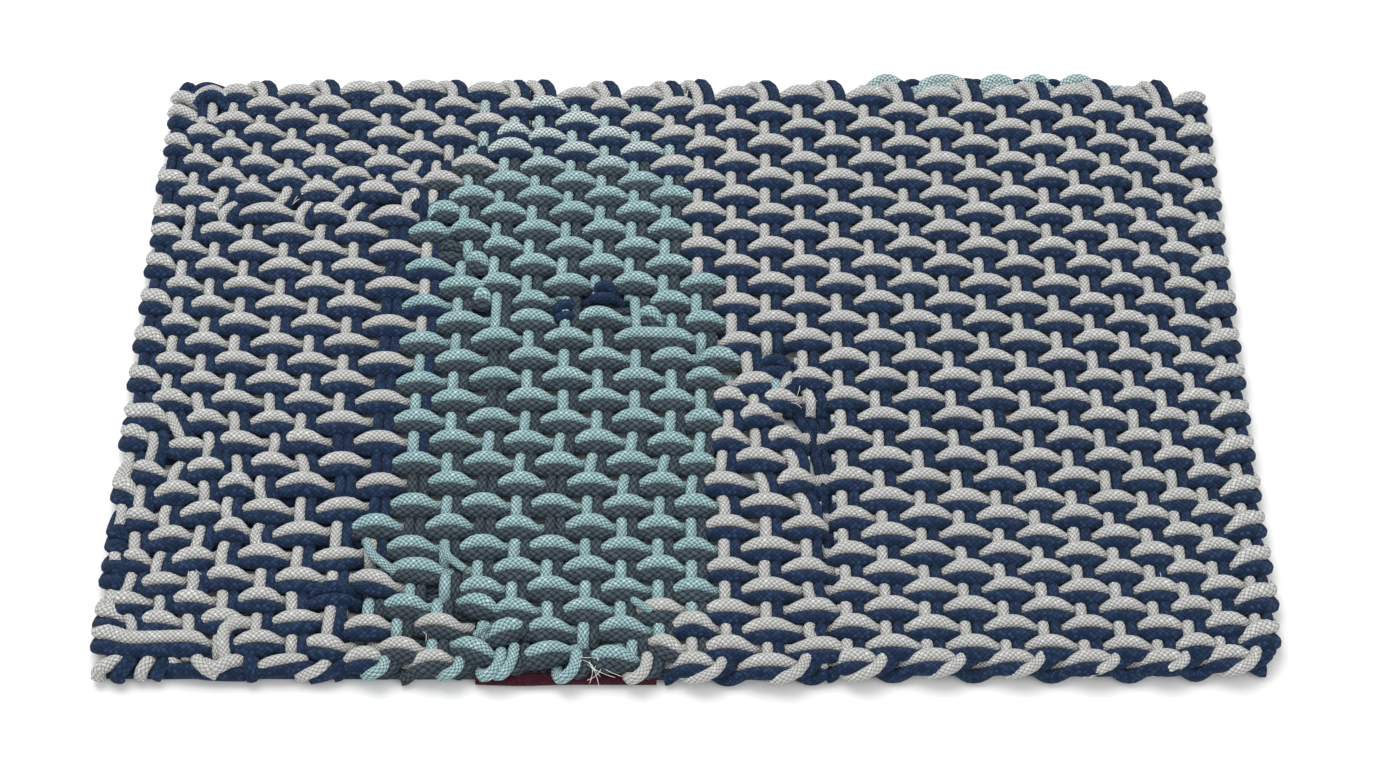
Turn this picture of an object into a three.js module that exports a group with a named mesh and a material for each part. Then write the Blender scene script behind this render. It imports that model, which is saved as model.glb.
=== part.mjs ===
// A rug woven over and under from pairs of thick braided cords, lying flat.
// Millimetres, +Z up. The origin is the middle of the underside, X runs along the weft.

import * as THREE from 'three';

// Driving sizes
const RUG_WIDTH = 914;
const RUG_DEPTH = 610;
const CORD_DIAMETER = 9.5;
const WARP_PAIRS = 32;
const WEFT_PAIRS = 32;

// Heights of the weave above the floor. The weft bulges more than the tight warp.
const WEFT_CREST = 2.15 * CORD_DIAMETER;
const WARP_CREST = 1.75 * CORD_DIAMETER;
const HOLLOW = 1.1 * CORD_DIAMETER;

// The rim is the outer side of the cords that turn back at the edge
const RIM_TOP_HEIGHT = 1.3 * CORD_DIAMETER;
const RIM_MIDDLE_HEIGHT = 0.8 * CORD_DIAMETER;
const RIM_TOP_INSET = 0.5 * CORD_DIAMETER;
const RIM_FOOT_INSET = 0.35 * CORD_DIAMETER;
const CORNER_INSET = 1.1 * CORD_DIAMETER;
const CORNER_CELLS = 2;

// How much closer the pairs lie at the edges than in the middle of the rug
const WARP_CROWDING = 0.06;
const WEFT_CROWDING = 0.1;

// How far each turn of cord stands out past the hollow beside it
const WEFT_TURN_BULGE = 3;
const WARP_TURN_BULGE = 4;

// A stretch of spare loops stands out behind the far edge, right of the middle
const FAR_LOOPS = { from: 160, to: 372, reach: 8 };

// The long edges and the sides wander a little, each by its own slow wave
const EDGE_WAVES = [
  { side: 'near', reach: 2.5, waves: 1.5, start: 0.2 },
  { side: 'right', reach: 2, waves: 1, start: 0.6 },
  { side: 'far', reach: 2.5, waves: 2, start: 0.1 },
  { side: 'left', reach: 2, waves: 1.5, start: 0.4 },
];

// Places a line of the weave, from 0 at one edge to 1 at the other, closer near the edges
function crowded(share, crowding) {
  return share - crowding * Math.sin(2 * Math.PI * share) / (2 * Math.PI);
}

function smoothStep(from, to, value) {
  const share = THREE.MathUtils.clamp((value - from) / (to - from), 0, 1);
  return share * share * (3 - 2 * share);
}

// Shape of one side, seen from outside the rug: turns of cord, slow wave and round corners.
// Steps along a side are half cells, so an odd step is the middle of a warp or weft pair.
function sideReach(side, step, steps) {
  const alongWarp = side === 'left' || side === 'right';
  const bulge = alongWarp ? WEFT_TURN_BULGE : WARP_TURN_BULGE;
  const phase = side === 'near' || side === 'right' ? 1 : 3;
  const turn = bulge * Math.cos(Math.PI * (step - phase) / 2) / 2 - bulge / 2;
  const wave = EDGE_WAVES.find((row) => row.side === side);
  const share = step / steps;
  const slow = wave.reach * (Math.sin(2 * Math.PI * (wave.waves * share + wave.start)) - 1) / 2;
  const fromCorner = Math.min(step, steps - step) / (2 * CORNER_CELLS);
  const rounding = CORNER_INSET * (1 - smoothStep(0, 1, fromCorner));
  return turn + slow * Math.sin(Math.PI * share) - rounding;
}

// Extra reach of the spare loops on the far edge
function farLoops(x, step) {
  const ends = smoothStep(FAR_LOOPS.from, FAR_LOOPS.from + 30, x)
    * (1 - smoothStep(FAR_LOOPS.to - 30, FAR_LOOPS.to, x));
  return FAR_LOOPS.reach * ends * (1 + 0.3 * Math.cos(Math.PI * step / 2));
}

// Place of a point of the weave in plan. A half step is the middle of a pair.
function planPoint(column, row, inset) {
  const acrossShare = crowded(column / WARP_PAIRS, WARP_CROWDING);
  const deepShare = crowded(row / WEFT_PAIRS, WEFT_CROWDING);
  const left = -RUG_WIDTH / 2 - sideReach('left', 2 * row, 2 * WEFT_PAIRS) + inset;
  const right = RUG_WIDTH / 2 + sideReach('right', 2 * row, 2 * WEFT_PAIRS) - inset;
  const straightX = THREE.MathUtils.lerp(-RUG_WIDTH / 2, RUG_WIDTH / 2, acrossShare);
  const near = -RUG_DEPTH / 2 - sideReach('near', 2 * column, 2 * WARP_PAIRS) + inset;
  const far = RUG_DEPTH / 2 + sideReach('far', 2 * column, 2 * WARP_PAIRS)
    + farLoops(straightX, 2 * column) - inset;
  // Only the outermost cells follow the wavy edge, the lines inside stay straight
  const leftPull = Math.max(0, 1 - column);
  const rightPull = Math.max(0, 1 - (WARP_PAIRS - column));
  const nearPull = Math.max(0, 1 - row);
  const farPull = Math.max(0, 1 - (WEFT_PAIRS - row));
  const straightY = THREE.MathUtils.lerp(-RUG_DEPTH / 2, RUG_DEPTH / 2, deepShare);
  const x = straightX + leftPull * (left + RUG_WIDTH / 2) + rightPull * (right - RUG_WIDTH / 2);
  const y = straightY + nearPull * (near + RUG_DEPTH / 2) + farPull * (far - RUG_DEPTH / 2);
  return [x, y];
}

// Adds points and faces to one closed surface
class Surface {
  constructor() {
    this.points = [];
    this.faces = [];
  }

  point(x, y, z) {
    this.points.push(x, y, z);
    return this.points.length / 3 - 1;
  }

  face(a, b, c) {
    this.faces.push(a, b, c);
  }

  // Closes two rings of points, the second one lower, with outward faces
  band(upper, lower) {
    for (let k = 0; k < upper.length; k += 1) {
      const next = (k + 1) % upper.length;
      this.face(upper[k], lower[k], upper[next]);
      this.face(upper[next], lower[k], lower[next]);
    }
  }

  geometry() {
    const geometry = new THREE.BufferGeometry();
    geometry.setAttribute('position', new THREE.Float32BufferAttribute(this.points, 3));
    geometry.setIndex(this.faces);
    geometry.computeVertexNormals();
    return geometry;
  }
}

// Column and row of each point of the rim, anticlockwise from the near left corner, in half cells
function rimSteps() {
  const steps = [];
  for (let step = 0; step < 2 * WARP_PAIRS; step += 1) steps.push([step / 2, 0]);
  for (let step = 0; step < 2 * WEFT_PAIRS; step += 1) steps.push([WARP_PAIRS, step / 2]);
  for (let step = 2 * WARP_PAIRS; step > 0; step -= 1) steps.push([step / 2, WEFT_PAIRS]);
  for (let step = 2 * WEFT_PAIRS; step > 0; step -= 1) steps.push([0, step / 2]);
  return steps;
}

function stepKey(column, row) {
  return `${2 * column}/${2 * row}`;
}

// One ring of the rim at its height, drawn in from the outermost line
function rimRing(surface, height, inset) {
  return rimSteps().map(([column, row]) => {
    const [x, y] = planPoint(column, row, inset);
    return surface.point(x, y, height);
  });
}

// Weft over warp on one cell, warp over weft on the next, like a chessboard
function crestHeight(column, row) {
  return (column + row) % 2 === 0 ? WEFT_CREST : WARP_CREST;
}

// The woven top: each cell is a raised crossing with its four corners in the hollows
function addWovenTop(surface, rim) {
  const known = new Map();
  rimSteps().forEach(([column, row], k) => known.set(stepKey(column, row), rim[k]));
  const corner = (column, row) => {
    const key = stepKey(column, row);
    if (!known.has(key)) known.set(key, surface.point(...planPoint(column, row, 0), HOLLOW));
    return known.get(key);
  };
  for (let column = 0; column < WARP_PAIRS; column += 1) {
    for (let row = 0; row < WEFT_PAIRS; row += 1) {
      const middle = planPoint(column + 0.5, row + 0.5, 0);
      const crest = surface.point(...middle, crestHeight(column, row));
      const around = [[0, 0], [0.5, 0], [1, 0], [1, 0.5], [1, 1], [0.5, 1], [0, 1], [0, 0.5]]
        .map(([right, up]) => [column + right, row + up])
        .filter(([c, r]) => (Number.isInteger(c) && Number.isInteger(r)) || known.has(stepKey(c, r)));
      around.forEach(([c, r], k) => {
        const [nextColumn, nextRow] = around[(k + 1) % around.length];
        surface.face(corner(c, r), corner(nextColumn, nextRow), crest);
      });
    }
  }
}

// The flat underside, cut from the foot of the rim
function addUnderside(surface, foot) {
  const outline = foot.map((index) => new THREE.Vector2(
    surface.points[3 * index],
    surface.points[3 * index + 1],
  ));
  THREE.ShapeUtils.triangulateShape(outline, []).forEach(([a, b, c]) => {
    surface.face(foot[a], foot[c], foot[b]);
  });
}

function makeRugBody() {
  const surface = new Surface();
  const top = rimRing(surface, RIM_TOP_HEIGHT, RIM_TOP_INSET);
  const middle = rimRing(surface, RIM_MIDDLE_HEIGHT, 0);
  const foot = rimRing(surface, 0, RIM_FOOT_INSET);
  surface.band(top, middle);
  surface.band(middle, foot);
  addWovenTop(surface, top);
  addUnderside(surface, foot);
  return surface.geometry();
}

const navyAndGrey = new THREE.MeshStandardMaterial({ color: 0x6f7688, roughness: 0.95, metalness: 0 });
const rugBody = new THREE.Mesh(makeRugBody(), navyAndGrey);
rugBody.name = 'rug_body';

// The origin is the middle of the whole outline, spare loops included
rugBody.geometry.computeBoundingBox();
const middle = rugBody.geometry.boundingBox.getCenter(new THREE.Vector3());
rugBody.position.set(-middle.x, -middle.y, 0);

const rug = new THREE.Group();
rug.add(rugBody);

export default rug;
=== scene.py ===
"""A flat rug woven over one and under one from pairs of thick braided cords.

Places on the rug are given in millimetres as (across, deep): across from the left edge, and deep from the
far edge.
"""

import itertools
import logging
import math
from collections.abc import Callable, Iterable, Iterator
from dataclasses import dataclass, field
from enum import Enum

import bmesh
import bpy
import numpy as np
from mathutils import Euler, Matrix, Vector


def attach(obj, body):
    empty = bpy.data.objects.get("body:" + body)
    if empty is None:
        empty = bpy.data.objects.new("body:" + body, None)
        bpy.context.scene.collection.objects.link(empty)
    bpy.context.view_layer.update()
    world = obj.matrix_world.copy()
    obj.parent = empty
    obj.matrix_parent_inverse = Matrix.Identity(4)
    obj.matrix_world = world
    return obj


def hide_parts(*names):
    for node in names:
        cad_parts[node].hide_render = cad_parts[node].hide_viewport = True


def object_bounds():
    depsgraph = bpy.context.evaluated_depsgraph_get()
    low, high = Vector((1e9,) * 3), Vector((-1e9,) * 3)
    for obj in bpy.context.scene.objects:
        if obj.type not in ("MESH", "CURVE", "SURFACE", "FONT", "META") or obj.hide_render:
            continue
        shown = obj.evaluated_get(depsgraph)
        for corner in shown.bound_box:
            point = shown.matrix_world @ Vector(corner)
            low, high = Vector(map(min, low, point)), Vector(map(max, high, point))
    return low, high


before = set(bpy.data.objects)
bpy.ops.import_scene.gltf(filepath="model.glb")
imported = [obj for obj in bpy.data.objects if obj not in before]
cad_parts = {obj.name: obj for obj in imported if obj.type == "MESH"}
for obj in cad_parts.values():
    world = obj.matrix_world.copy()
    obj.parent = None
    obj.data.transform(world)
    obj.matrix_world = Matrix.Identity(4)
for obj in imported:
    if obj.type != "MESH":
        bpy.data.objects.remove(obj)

CAD_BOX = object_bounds()
LOG = logging.getLogger("rug")

MM = 0.001
TINY = 1e-9
Plan = tuple[float, float]
Place = tuple[float, float, float]
Colour = tuple[float, float, float]


class Dye(Enum):
    """The colours that the cords are dyed, and the white of loose fibre."""

    GREY = "grey"
    NAVY = "navy"
    AQUA = "aqua"
    CHARCOAL = "charcoal"
    MAROON = "maroon"
    WHITE = "white"


class Side(Enum):
    """Which cord of a pair: the pale one lies far or left, the dark one near or right."""

    PALE = -1
    DARK = 1


@dataclass(frozen=True)
class RugSizes:
    """Driving sizes of the rug, in millimetres.

    Width comes from the frame, and depth is that of the weave without the loops past its ends. The row
    turns reach from left_edge to right_edge, and far_shift centres the loops in the frame.
    """

    width: float = round((CAD_BOX[1][0] - CAD_BOX[0][0]) / MM)
    depth: float = 610.0
    left_edge: float = -3.5
    right_edge: float = 908.5
    far_shift: float = 3.5
    cord: float = 9.6
    layer_middle: float = 10.0

    @property
    def girth(self) -> float:
        """The length once round a cord, in metres."""
        return math.pi * self.cord * MM

    def world(self, across: np.ndarray, deep: np.ndarray, height: np.ndarray) -> np.ndarray:
        """Turns places on the rug into the frame's metres.

        Args:
            across: distance from the left edge, in millimetres.
            deep: distance from the far edge, in millimetres.
            height: height above the floor, in millimetres.

        Returns:
            An array of points, one row each.
        """
        x = (across - self.width / 2) * MM
        y = (self.depth / 2 - deep - self.far_shift) * MM
        return np.column_stack([x, y, height * MM])


SIZES = RugSizes()

# Where the near edge lies, as (across, deep)
NEAR_EDGE: tuple[Plan, ...] = (
    (0, 608), (120, 608), (235, 607), (448, 610), (554, 609), (661, 605), (914, 602),
)


def near_edge(across: float) -> float:
    """Gives the place of the near edge at a place across."""
    places, depths = np.array(NEAR_EDGE, dtype=float).T
    return float(np.interp(across, places, depths))


def smooth_step(start: float, end: float, value: np.ndarray | float) -> np.ndarray | float:
    """Rises from 0 at start to 1 at end with flat ends."""
    share = np.clip((value - start) / (end - start), 0.0, 1.0)
    return share * share * (3.0 - 2.0 * share)


@dataclass(frozen=True)
class Patch:
    """A flat region of the rug, bounded by corners given as (across, deep)."""

    corners: tuple[Plan, ...]

    def holds(self, across: float, deep: float) -> bool:
        """Says whether a place lies inside the region.

        Args:
            across: the place's distance from the left edge.
            deep: the place's distance from the far edge.

        Returns:
            True inside the region.
        """
        inside = False
        before = self.corners[-1]
        for corner in self.corners:
            (x0, y0), (x1, y1) = before, corner
            if (y0 > deep) != (y1 > deep) and across < x0 + (x1 - x0) * (deep - y0) / (y1 - y0):
                inside = not inside
            before = corner
        return inside


# The line along which the near left weave meets the right one, from far to near
SEAM: tuple[Plan, ...] = (
    (224, 128), (244, 155), (252, 178), (277, 198), (287, 225), (311, 242), (456, 245),
    (491, 302), (532, 309), (547, 346), (565, 376), (575, 426), (579, 640),
)
# The line along which the far left weave meets the near left one, from left to right
JOIN: tuple[Plan, ...] = ((-30, 166), (66, 165), (120, 164), (205, 160), (224, 128))
# The line along which the far left weave meets the right one, from far to near
CLEFT: tuple[Plan, ...] = ((315, -30), (315, 61), (294, 74), (244, 91), (224, 128))

FAR_LEFT = Patch(((-30, -30), *CLEFT, *JOIN[::-1][1:]))
NEAR_LEFT = Patch((*JOIN, *SEAM[1:], (-30, 640)))
RIGHT = Patch((*CLEFT, *SEAM[1:], (960, 640), (960, -30)))


@dataclass(frozen=True)
class Backing:
    """Tucked cords that lie low along a line, each shifted to the side."""

    line: tuple[Plan, ...]
    shifts: tuple[float, ...]
    dye: Dye


BACKINGS: tuple[Backing, ...] = (
    Backing(SEAM, (-13.0, -4.5, 4.5, 13.0), Dye.NAVY),
    Backing(CLEFT, (-13.0, -4.5, 4.5, 13.0), Dye.NAVY),
    Backing(((8, 592), (230, 592)), (-12.0, -3.0, 6.0), Dye.NAVY),
    Backing(((205, 548), (310, 548)), (-24.0, -16.0, -8.0, 0.0, 8.0, 16.0, 24.0), Dye.CHARCOAL),
    Backing(((205, 592), (455, 592)), (-12.0, -3.0, 6.0), Dye.CHARCOAL),
    Backing(((12, 14), (60, 14)), (0.0, 9.0, 18.0, 27.0, 36.0), Dye.NAVY),
    Backing(((350, 252), (425, 252)), (-8.0, 0.0, 8.0), Dye.CHARCOAL),
    Backing(
        ((16, 381), (212, 381)), (0.0, 20.0, 40.0, 61.0, 81.0, 101.0, 120.0, 139.0, 158.0, 176.0), Dye.NAVY
    ),
)

# Where each kind of cord is aqua or charcoal and not grey or navy
AQUA_WEFT = Patch((
    (316, 27), (348, 21), (425, 94), (455, 111), (456, 198), (481, 212), (481, 362), (473, 372),
    (475, 536), (425, 546), (425, 640), (274, 640), (274, 563), (227, 546), (227, 506), (194, 479),
    (194, 443), (222, 423), (222, 225), (229, 151), (244, 121), (284, 91),
))
CHARCOAL_WEFT = Patch((
    (227, 101), (290, 101), (331, 101), (425, 104), (455, 115), (456, 198), (481, 212),
    (481, 362), (468, 372), (475, 546), (425, 560), (441, 640), (217, 640), (224, 560), (195, 533),
    (195, 479), (194, 443), (222, 423), (222, 299), (244, 225), (229, 178),
))
AQUA_WARP = Patch((
    (260, 30), (425, 30), (455, 98), (455, 225), (478, 245), (478, 533), (441, 560), (431, 580),
    (197, 640), (207, 533), (207, 459), (224, 412), (224, 299), (257, 225), (240, 138), (264, 91),
))
CHARCOAL_WARP = Patch((
    (250, 98), (455, 98), (455, 225), (478, 245), (478, 546), (441, 640), (224, 640), (244, 225),
))


@dataclass(frozen=True)
class Drift:
    """How far rows sink towards the near edge, growing from nothing at start to all of it at end."""

    rows: tuple[float, ...]
    sinks: tuple[float, ...]
    start: float
    end: float

    def sink(self, row: float, across: float) -> float:
        """Gives the sink of a row at a place across."""
        return float(np.interp(row, self.rows, self.sinks) * smooth_step(self.start, self.end, across))


@dataclass(frozen=True)
class Weave:
    """One stretch of regular over and under weaving, with its own warps and rows.

    Moves shift single crossings, gone ones are left out, swapped ones go the other way over and under, and
    more ones belong to it though they lie outside its patch.
    """

    patch: Patch
    first_warp: int
    far_warps: tuple[float, ...]
    near_warps: tuple[float, ...]
    bend: Plan
    row_marks: tuple[tuple[int, float], ...]
    odd: bool
    aside: dict[Side, float]
    dark_sink: float
    drifts: tuple[Drift, ...] = ()
    wander: float = 0.0
    wander_length: float = 48.0
    late_from: int = 99
    late_bend: Plan = (0, 1)
    moves: dict[tuple[int, int], Plan] = field(default_factory=dict)
    gone: frozenset[tuple[int, int]] = frozenset()
    swapped: frozenset[tuple[int, int]] = frozenset()
    more: frozenset[tuple[int, int]] = frozenset()

    @property
    def rows(self) -> range:
        """The numbers of its weft rows."""
        return range(self.row_marks[0][0], self.row_marks[-1][0] + 1)

    @property
    def warps(self) -> range:
        """The numbers of its warp pairs."""
        return range(self.first_warp, self.first_warp + len(self.far_warps))

    def warp_across(self, warp: int, deep: float) -> float:
        """Gives the place across of a warp pair.

        Args:
            warp: the number of the pair.
            deep: the distance from the far edge at which it is wanted.

        Returns:
            The pair's distance from the left edge.
        """
        start, end = self.late_bend if warp >= self.late_from else self.bend
        share = float(smooth_step(start, end, deep))
        k = warp - self.first_warp
        return self.far_warps[k] * (1 - share) + self.near_warps[k] * share

    def row_deep(self, row: int, across: float) -> float:
        """Gives the depth of a weft row.

        Args:
            row: the number of the row.
            across: the distance from the left edge at which it is wanted.

        Returns:
            The row's distance from the far edge.
        """
        numbers, depths = np.array(self.row_marks, dtype=float).T
        plain = float(np.interp(row, numbers, depths))
        wander = self.wander * math.sin(across / self.wander_length + row)
        return plain + wander + sum(drift.sink(row, across) for drift in self.drifts)

    def weft_over(self, warp: int, row: int) -> bool:
        """Says whether the weft passes over the warp where the two cross."""
        over = (warp + row) % 2 == (1 if self.odd else 0)
        return over != ((warp, row) in self.swapped)


WEAVES: tuple[Weave, ...] = (
    Weave(
        FAR_LEFT,
        0,
        (8, 29, 55, 80, 109, 136, 163, 190, 220, 247, 276, 302),
        (8, 29, 55, 80, 109, 136, 163, 190, 220, 247, 276, 302),
        bend=(0, 10),
        row_marks=((0, 18), (7, 134), (8, 151)),
        odd=False,
        aside={Side.PALE: -1.5, Side.DARK: 7.0},
        dark_sink=1.2,
        wander=2.0,
        moves={
            (11, 3): (-3, -4), (8, 6): (-10, 4), (2, 6): (0, -4), (4, 6): (0, -4), (6, 6): (0, -3),
            (3, 7): (-3, -3), (5, 7): (0, -3), (7, 7): (-6, 1), (2, 8): (-11, 4), (3, 8): (-22, 3),
            (4, 8): (-15, 5), (5, 8): (-12, 5), (6, 8): (-19, 5), (7, 8): (-22, 6),
            (0, 2): (0, -6), (0, 6): (0, 6), (0, 8): (0, 10),
        },
        gone=frozenset({(0, 0), (1, 0), (0, 1), (0, 2), (1, 1)}),
    ),
    Weave(
        NEAR_LEFT,
        -1,
        (-17, 8, 29, 54, 81, 113, 142, 172, 204, 234, 263, 295, 323, 353, 381, 412, 441, 466, 487, 508, 536),
        (8, 27, 47, 71, 95, 123, 151, 179, 207, 236, 264, 291, 319, 346, 375, 403, 432, 458, 484, 516, 548),
        bend=(340, 400),
        row_marks=((0, 176), (10, 371), (16, 492), (19, 548), (20, 566), (21, 582), (22, 597)),
        odd=False,
        aside={Side.PALE: -1.5, Side.DARK: 7.0},
        dark_sink=1.2,
        late_from=5,
        late_bend=(372, 440),
        drifts=(
            Drift((11, 14), (0, 9), 230, 110),
            Drift((3, 5, 7, 11), (0, -5, -5, 0), 230, 300),
            Drift((16, 22), (0, 4.8), 190, 150),
        ),
        moves={
            (17, 7): (-9, 1), (18, 7): (-5, 0), (18, 8): (-2, 4), (19, 9): (-8, 0), (18, 10): (0, -4),
            (17, 11): (-3, -4), (19, 11): (-9, -4), (18, 12): (-5, -4), (19, 13): (-9, -4),
            (17, 13): (-4, -1), (17, 12): (-3, -2), (19, 12): (-4, -2), (1, 11): (5, 8), (3, 11): (-5, 1),
            (5, 11): (-2, 0), (0, 12): (-7, 6), (2, 12): (-5, 3), (4, 12): (-5, -1), (1, 12): (-2, 8),
            (1, 13): (-2, 3), (3, 13): (-2, -6), (-1, 13): (-3, 4), (0, 13): (-7, 7), (5, 13): (-3, -5),
            (4, 13): (-9, -3), (4, 14): (-2, -3), (2, 14): (-1, -2), (0, 14): (-8, 6), (3, 14): (-5, -6),
            (1, 14): (-6, 1), (5, 14): (-3, -1), (1, 15): (-1, 2), (3, 15): (-2, -7), (5, 15): (-2, 0),
            (-1, 15): (-4, 6), (0, 15): (-7, 5), (4, 15): (-7, -2), (2, 16): (-5, 2), (0, 16): (-6, 3),
            (4, 16): (-2, -2), (3, 16): (-5, -3), (1, 16): (-6, 4), (5, 16): (-2, 2), (1, 17): (-5, 5),
            (3, 17): (-2, -1), (5, 17): (-2, 3), (6, 16): (0, 7), (0, 17): (-6, 3), (0, 18): (-12, 2),
            (2, 18): (-3, 3), (19, 19): (5, 0), (19, 21): (10, 0), (16, 20): (0, -5), (0, 0): (0, 6),
            (1, 19): (-2, 1), (3, 19): (-2, -1), (5, 19): (0, 3), (6, 20): (-3, 12),
            (6, 17): (0, 5), (5, 18): (-3, 0), (13, 5): (-2, -3),
        },
        gone=frozenset({
            (9, 1), (11, 4), (13, 4), (15, 4), (16, 5), (16, 7), (17, 8), (19, 10), (7, 17), (8, 17), (9, 17),
            (7, 18), (8, 18), (9, 18), (7, 19), (8, 19), (9, 19), (10, 19), (10, 20), (7, 20), (8, 20),
            (9, 20), (11, 20), *((warp, 21) for warp in range(-1, 16)),
            *((warp, 22) for warp in range(-1, 16)),
        }),
        swapped=frozenset({
            (10, 4), (12, 4), (14, 4), (15, 5), (15, 6), (16, 6), (-1, 20), (1, 20),
        }),
    ),
    Weave(
        RIGHT,
        8,
        (240, 270, 299, 328, 357, 385, 412, 441, 467, 495, 524, 553, 582, 612, 642, 672, 702, 732, 762,
         790, 818, 844, 869, 896),
        (237, 265, 294, 323, 352, 381, 409, 437, 465, 494, 523, 552, 581, 611, 642, 672, 702, 732, 762,
         790, 818, 843, 867, 896),
        bend=(60, 230),
        row_marks=((-1, 8), (0, 22), (10, 211), (22, 446), (30, 580), (31, 593.5)),
        odd=True,
        aside={Side.PALE: -4.8, Side.DARK: 4.6},
        dark_sink=0.4,
        drifts=(
            Drift((-1, 6.5), (16, 0), 485, 430),
            Drift((5, 6), (-2, 0), 700, 790),
            Drift((0, 2, 5, 6, 10, 14, 18, 20, 31), (16, 13, 11.5, 9, 7, 6, 0, -5, -5), 820, 900),
        ),
        moves={(10, 3): (0, -5), (9, 4): (-3, -2), (17, 14): (1, 3), (19, 17): (6, 0)},
        more=frozenset({(10, 11), (11, 12), (15, 12), (16, 13)}),
        gone=frozenset((warp, -1) for warp in range(16, 32)),
    ),
)


@dataclass(frozen=True)
class Stitch:
    """One crossing laid by itself where the weave is broken or mended."""

    across: float
    deep: float
    reach: float
    slope: float
    pale: Dye
    dark: Dye
    upright: bool = False


STITCHES: tuple[Stitch, ...] = (
    Stitch(202, 158, 27, 0.00, Dye.GREY, Dye.NAVY),
    Stitch(213, 138, 14, 0.00, Dye.GREY, Dye.NAVY, upright=True),
    Stitch(228, 142, 18, 0.00, Dye.NAVY, Dye.NAVY, upright=True),
    Stitch(245, 153, 21, 0.00, Dye.AQUA, Dye.CHARCOAL),
    Stitch(236, 152, 13, 0.00, Dye.AQUA, Dye.CHARCOAL, upright=True),
    Stitch(252, 196, 16, 0.12, Dye.CHARCOAL, Dye.CHARCOAL),
    Stitch(268, 191, 12, 0.00, Dye.AQUA, Dye.CHARCOAL, upright=True),
    Stitch(276, 208, 13, 0.42, Dye.AQUA, Dye.CHARCOAL),
    Stitch(281, 247, 9, 0.12, Dye.AQUA, Dye.CHARCOAL),
    Stitch(525, 315, 20, 0.00, Dye.NAVY, Dye.NAVY),
    Stitch(526, 336, 13, 0.00, Dye.AQUA, Dye.NAVY, upright=True),
    Stitch(422, 266, 12, 0.54, Dye.AQUA, Dye.CHARCOAL),
    Stitch(383, 239, 17, 0.00, Dye.NAVY, Dye.NAVY),
    Stitch(351, 259, 13, -0.18, Dye.NAVY, Dye.NAVY),
    Stitch(243, 512, 33, 0.10, Dye.AQUA, Dye.CHARCOAL),
    Stitch(209, 523, 26, 0.22, Dye.GREY, Dye.NAVY),
    Stitch(235, 545, 26, 0.06, Dye.AQUA, Dye.CHARCOAL),
    Stitch(292, 544, 22, 0.30, Dye.AQUA, Dye.CHARCOAL),
    Stitch(207, 563, 27, 0.00, Dye.GREY, Dye.NAVY),
    Stitch(262, 562, 27, 0.10, Dye.GREY, Dye.CHARCOAL),
    Stitch(234, 583, 26, 0.10, Dye.GREY, Dye.CHARCOAL),
    Stitch(290, 584, 25, 0.34, Dye.AQUA, Dye.CHARCOAL),
    Stitch(266, 523, 15, 0.00, Dye.AQUA, Dye.CHARCOAL, upright=True),
    Stitch(239, 531, 12, 0.00, Dye.AQUA, Dye.CHARCOAL, upright=True),
    Stitch(208, 546, 12, 0.00, Dye.AQUA, Dye.CHARCOAL, upright=True),
    Stitch(261, 547, 12, 0.00, Dye.AQUA, Dye.CHARCOAL, upright=True),
    Stitch(231, 562, 13, 0.00, Dye.AQUA, Dye.CHARCOAL, upright=True),
    Stitch(259, 582, 15, 0.00, Dye.AQUA, Dye.CHARCOAL, upright=True),
    Stitch(297, 564, 10, 0.00, Dye.AQUA, Dye.CHARCOAL, upright=True),
    Stitch(314, 567, 23, -0.36, Dye.AQUA, Dye.CHARCOAL),
    Stitch(321, 561, 12, 0.00, Dye.AQUA, Dye.CHARCOAL, upright=True),
    Stitch(322, 592, 17, 0.00, Dye.AQUA, Dye.CHARCOAL, upright=True),
    Stitch(76, 405, 15, 0.00, Dye.NAVY, Dye.NAVY, upright=True),
    Stitch(206, 592, 22, -0.08, Dye.GREY, Dye.NAVY),
    Stitch(258, 594, 23, -0.12, Dye.GREY, Dye.CHARCOAL),
    Stitch(345, 587, 30, -0.20, Dye.AQUA, Dye.CHARCOAL),
    Stitch(396, 591, 27, 0.06, Dye.AQUA, Dye.CHARCOAL),
    Stitch(437, 581, 20, 0.36, Dye.GREY, Dye.CHARCOAL),
    Stitch(312, 598, 21, 0.00, Dye.AQUA, Dye.CHARCOAL, upright=True),
    Stitch(281, 603, 18, 0.00, Dye.AQUA, Dye.CHARCOAL, upright=True),
    Stitch(224, 603, 18, 0.00, Dye.AQUA, Dye.CHARCOAL, upright=True),
    Stitch(370, 598, 17, 0.00, Dye.AQUA, Dye.CHARCOAL, upright=True),
    Stitch(424, 601, 19, 0.00, Dye.GREY, Dye.CHARCOAL, upright=True),
    Stitch(412, 579, 12, 0.00, Dye.AQUA, Dye.CHARCOAL, upright=True),
)

# Places where a weft shows its dark cord alone
DARK_SPOTS: tuple[Plan, ...] = ((171, 451), (5, 490), (3, 520), (175, 525), (0, 545))
DARK_SPOT_REACH = 9.0
# Places where both cords of a warp are dark
DARK_WARPS: tuple[Patch, ...] = (
    Patch(((-30, -30), (16, -30), (16, 380), (-30, 380))),
    Patch(((150, 20), (176, 20), (176, 112), (150, 112))),
    Patch(((192, 165), (220, 165), (220, 460), (192, 460))),
    Patch(((165, 385), (190, 385), (190, 440), (165, 440))),
    Patch(((225, 425), (247, 425), (247, 480), (225, 480))),
    Patch(((280, 305), (305, 305), (305, 360), (280, 360))),
    Patch(((280, 425), (305, 425), (305, 480), (280, 480))),
    Patch(((335, 425), (360, 425), (360, 480), (335, 480))),
)


@dataclass(frozen=True)
class Strand:
    """One short length of cord laid by itself, through places given as (across, deep, height)."""

    dye: Dye
    thick: float
    places: tuple[tuple[float, float, float], ...]


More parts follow.
